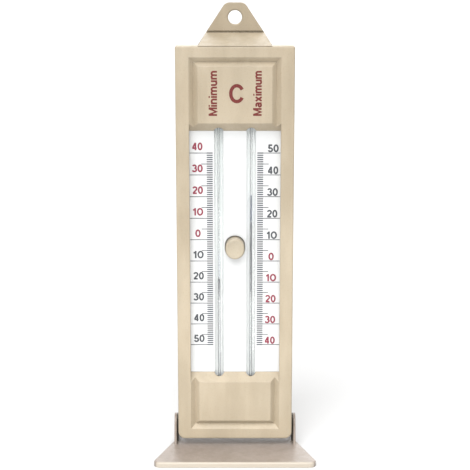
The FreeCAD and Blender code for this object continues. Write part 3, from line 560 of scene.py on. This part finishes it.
def stroke(bm, points, weight, ground_y, proud=INK_STANDS_OUT):
    """A raised ribbon of ink along points, in millimetres, on a face at ground_y, in metres."""
    closed = (Vector(points[0]) - Vector(points[-1])).length < SAME_POINT
    path = [Vector(point) for point in (points[:-1] if closed else points)]
    count = len(path)
    rows = []
    for index, point in enumerate(path):
        before = path[index - 1] if closed or index else point
        after = path[(index + 1) % count] if closed or index < count - 1 else point
        came = (point - before).normalized() if before != point else (after - point).normalized()
        goes = (after - point).normalized() if after != point else came
        middle = (came + goes).normalized()
        side = Vector((-middle.y, middle.x)) * weight / 2 / max(LEAST_MITRE, middle.dot(goes))
        row = []
        for edge in (point - side, point + side):
            for y in (ground_y, ground_y - proud * MM):
                row.append(bm.verts.new((edge.x * MM, y, CASE_BASE + edge.y * MM)))
        rows.append(row)
    pairs = list(zip(rows, rows[1:]))
    if closed:
        pairs.append((rows[-1], rows[0]))
    for (a_low, a_top, b_low, b_top), (c_low, c_top, d_low, d_top) in pairs:
        bm.faces.new((a_top, c_top, d_top, b_top))
        bm.faces.new((a_low, c_low, c_top, a_top))
        bm.faces.new((d_low, b_low, b_top, d_top))
    if not closed:
        for low, top, far_low, far_top in (rows[0], rows[-1]):
            bm.faces.new((low, top, far_top, far_low))


def word_strokes(text):
    """The strokes of a word's letters, one letter after another, and the word's length."""
    strokes = []
    pen = 0.0
    for letter in text:
        shapes = LETTERS[letter]
        left = min(x for shape in shapes for x, y in shape)
        right = max(x for shape in shapes for x, y in shape)
        for shape in shapes:
            strokes.append([(x - left + pen, y) for x, y in shape])
        pen += right - left + LETTER_SPACE
    return strokes, pen - LETTER_SPACE


def upright_word(bm, text, across, heights, ground_y, weight):
    """Ink letters that fill a rectangle from side to side, in millimetres."""
    strokes, length = word_strokes(text)
    x0, x1 = across[0] + weight / 2, across[1] - weight / 2
    h0, h1 = heights
    for number, shape in enumerate(strokes):
        points = [(x0 + (x1 - x0) * x / length, h0 + (h1 - h0) * y) for x, y in shape]
        stroke(bm, points, weight, ground_y, INK_STANDS_OUT + INK_STEP * (number % INK_LEVELS))


def climbing_word(bm, text, across, heights, ground_y, weight):
    """Ink letters that read from the bottom up and fill a rectangle, in millimetres."""
    strokes, length = word_strokes(text)
    low = min(y for shape in strokes for x, y in shape)
    high = max(y for shape in strokes for x, y in shape)
    x0, x1 = across
    h0, h1 = heights[0] + weight / 2, heights[1] - weight / 2
    for number, shape in enumerate(strokes):
        points = [(x1 - (x1 - x0) * (y - low) / (high - low), h0 + (h1 - h0) * x / length) for x, y in shape]
        stroke(bm, points, weight, ground_y, INK_STANDS_OUT + INK_STEP * (number % INK_LEVELS))


def ink_mesh(bm, name):
    bmesh.ops.recalc_face_normals(bm, faces=bm.faces)
    return finish_mesh(bm, name)


# ---- printed scale and words ----
def scale_lines():
    """The lines of both scales, which mirror each other."""
    bm = bmesh.new()
    for degree in range(DEGREES + 1):
        height = LOWEST_LINE + degree * DEGREE_STEP
        ticks = [(FINE_TICK, FINE_LINE_THICKNESS)]
        if degree % NUMBER_EVERY == 0:
            ticks.append((LONG_LINE, LINE_THICKNESS))
        elif degree % MIDDLE_TICK_EVERY == 0:
            ticks.append((MIDDLE_TICK, LINE_THICKNESS))
        for (near, far), thickness in ticks:
            stroke(bm, [(near, height), (far, height)], thickness, SCALE_Y)
            stroke(bm, [(-far, height), (-near, height)], thickness, SCALE_Y)
    return ink_mesh(bm, "scale_lines")


def scale_number(bm, degrees, across, base):
    """One number without its sign. A 0 on its own stands in the middle of its place."""
    x0, x1 = across
    if degrees == 0:
        middle = (x0 + x1) / 2
        half = (x1 - x0) * LONE_DIGIT_SHARE / 2
        x0, x1 = middle - half, middle + half
    upright_word(bm, str(abs(degrees)), (x0, x1), (base, base + DIGIT_HEIGHT), SCALE_Y, DIGIT_WEIGHT)


def scale_numbers(wanted_red):
    """Both columns of numbers, red up to 0 and dark above it. The left scale is warmest at its foot."""
    bm = bmesh.new()
    top_step = DEGREES // NUMBER_EVERY
    for step in range(top_step + 1):
        height = LOWEST_LINE + step * NUMBER_EVERY * DEGREE_STEP
        left_across = [x + LEFT_DIGITS_LEAN * (top_step - step) for x in LEFT_DIGITS]
        right_across = [x - RIGHT_DIGITS_LEAN * (top_step - step) for x in RIGHT_DIGITS]
        left_degrees = HOTTEST - step * NUMBER_EVERY
        right_degrees = HOTTEST - DEGREES + step * NUMBER_EVERY
        if (left_degrees <= 0) == wanted_red:
            scale_number(bm, left_degrees, left_across, height + LEFT_DIGITS_RISE)
        if (right_degrees <= 0) == wanted_red:
            scale_number(bm, right_degrees, right_across, height + RIGHT_DIGITS_RISE)
    return ink_mesh(bm, "numbers")


def panel_words():
    bm = bmesh.new()
    climbing_word(bm, "Minimum", LEFT_WORD, WORD_HEIGHTS, FACE_Y, WORD_WEIGHT)
    climbing_word(bm, "Maximum", RIGHT_WORD, WORD_HEIGHTS, FACE_Y, WORD_WEIGHT)
    upright_word(bm, "C", UNIT_ACROSS, UNIT_HEIGHTS, FACE_Y, UNIT_WEIGHT)
    return ink_mesh(bm, "panel_words")


grey_ink = ink("grey_ink", linear(52, 54, 58), linear(74, 77, 82))
red_ink = ink("red_ink", linear(116, 30, 52), linear(134, 56, 72))
panel_ink = ink("panel_ink", linear(88, 16, 14), linear(102, 34, 27))
add_piece("scale_lines", scale_lines(), grey_ink, "case")
add_piece("dark_numbers", scale_numbers(False), grey_ink, "case")
add_piece("red_numbers", scale_numbers(True), red_ink, "case")
add_piece("panel_words", panel_words(), panel_ink, "case")


# ---- return spring ----
def rise_share(share):
    """How far along the spring's length a share of its turns reaches. Its end turns lie nearly flat."""
    flat = FLAT_TURN / SPRING_TURNS
    if share < flat:
        return FLAT_RISE * share / flat
    if share > 1 - flat:
        return 1 - FLAT_RISE * (1 - share) / flat
    return FLAT_RISE + (1 - 2 * FLAT_RISE) * (share - flat) / (1 - 2 * flat)


def coil(low, high):
    """A round-wire coil along Y between two corners, as a closed tube."""
    centre = (low + high) / 2
    radius = (high.x - low.x) / 2 - WIRE_RADIUS
    length = high.y - low.y - 2 * WIRE_RADIUS
    steps = round(SPRING_TURNS * POINTS_PER_TURN)
    bm = bmesh.new()
    rings = []
    for step in range(steps + 1):
        share = step / steps
        angle = 2 * math.pi * SPRING_TURNS * share
        outward = Vector((math.cos(angle), 0, math.sin(angle)))
        along_y = low.y + WIRE_RADIUS + length * rise_share(share)
        place = Vector((centre.x, along_y, centre.z)) + outward * radius
        ring = []
        for side in range(WIRE_SIDES):
            turn = 2 * math.pi * side / WIRE_SIDES
            offset = outward * math.cos(turn) + Vector((0, 1, 0)) * math.sin(turn)
            ring.append(bm.verts.new(place + offset * WIRE_RADIUS))
        rings.append(ring)
    for before, after in zip(rings, rings[1:]):
        for side in range(WIRE_SIDES):
            beside = (side + 1) % WIRE_SIDES
            bm.faces.new((before[side], before[beside], after[beside], after[side]))
    bm.faces.new(rings[0])
    bm.faces.new(list(reversed(rings[-1])))
    bmesh.ops.recalc_face_normals(bm, faces=bm.faces)
    for face in bm.faces:
        face.smooth = len(face.verts) == 4
    return finish_mesh(bm, "return_spring_coil")


def return_spring():
    """The coil that stands for the CAD spring."""
    low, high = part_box("return_spring")
    steel = FINISHES["spring_steel"]
    spring = add_piece("return_spring_coil", coil(low, high), steel, "case")
    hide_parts("return_spring")
    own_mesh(spring)


return_spring()


# ---- foam cushions ----
def foam_block(node, name):
    """A cut block of foam whose faces pull in a little between its corners."""
    low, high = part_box(node)
    centre = (low + high) / 2
    half = (high - low) / 2
    bm = bmesh.new()
    bmesh.ops.create_cube(bm, size=2.0)
    bmesh.ops.subdivide_edges(bm, edges=bm.edges, cuts=FOAM_CUTS, use_grid_fill=True)
    for vertex in bm.verts:
        x, y, z = vertex.co
        waist = 1 - FOAM_WAIST * (1 - y * y)
        vertex.co = centre + Vector((
            x * half.x * waist * (1 - FOAM_CORNER * (1 - z * z)),
            y * half.y * (1 - FOAM_DISH * x * x * z * z),
            z * half.z * waist * (1 - FOAM_CORNER * (1 - x * x)),
        ))
    for face in bm.faces:
        face.smooth = True
    piece = add_piece(name, finish_mesh(bm, name), FINISHES["foam"], "case")
    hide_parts(node)


foam_block("bulb_cushion", "bulb_foam")
foam_block("bend_cushion", "bend_foam")


# ---- stage ----
def floor():
    material, tree, shader = new_material("floor", 0.9)
    drift = noise(tree, scale=3, detail=2.0)
    tone = ramp(tree, drift, (0.3, (0.53, 0.53, 0.53, 1.0)), (0.7, (0.55, 0.55, 0.55, 1.0)))
    tree.links.new(tone, shader.inputs["Base Color"])
    shader.inputs["Specular IOR Level"].default_value = 0.1
    bm = bmesh.new()
    bmesh.ops.create_grid(bm, x_segments=1, y_segments=1, size=FLOOR_SIZE)
    ground = add_to_scene("floor", finish_mesh(bm, "floor"))
    give_material(ground, material)


def camera():
    data = bpy.data.cameras.new("camera")
    data.sensor_width = SENSOR_MM
    data.lens = LENS_MM
    data.clip_start = CLIP_START
    data.clip_end = CLIP_END
    eye = add_to_scene("camera", data)
    eye.location = (0, FACE_Y - CAMERA_DISTANCE, CASE_BASE + CAMERA_HEIGHT)
    eye.rotation_euler = Euler((math.radians(90 - CAMERA_PITCH), 0, 0))
    bpy.context.scene.camera = eye


def world(strength):
    """An even white room."""
    room = bpy.data.worlds.new("studio")
    room.use_nodes = True
    background = room.node_tree.nodes["Background"]
    background.inputs["Color"].default_value = WHITE
    background.inputs["Strength"].default_value = strength
    bpy.context.scene.world = room


def sun(name, toward, strength, angle):
    """A soft distant lamp, angle degrees wide. toward is the direction from the object to the lamp."""
    data = bpy.data.lights.new(name, "SUN")
    data.energy = strength
    data.angle = math.radians(angle)
    lamp = add_to_scene(name, data)
    lamp.rotation_euler = Vector(toward).to_track_quat("Z", "Y").to_euler()


def low_lamp(power):
    """A small lamp close in front, which makes the foot brighter than the top."""
    data = bpy.data.lights.new("low_lamp", "POINT")
    data.energy = power
    data.shadow_soft_size = LOW_LAMP_RADIUS
    lamp = add_to_scene("low_lamp", data)
    lamp.location = LOW_LAMP_PLACE
    lamp.visible_camera = False
    lamp.visible_glossy = False


floor()
camera()
world(0.95)
sun("key", toward=(-0.12, -0.64, 0.77), strength=3.62, angle=50)
sun("back_fill", toward=(0.15, 0.8, 0.5), strength=1.7, angle=60)
low_lamp(0.54)
bpy.context.scene.view_settings.view_transform = "Standard"
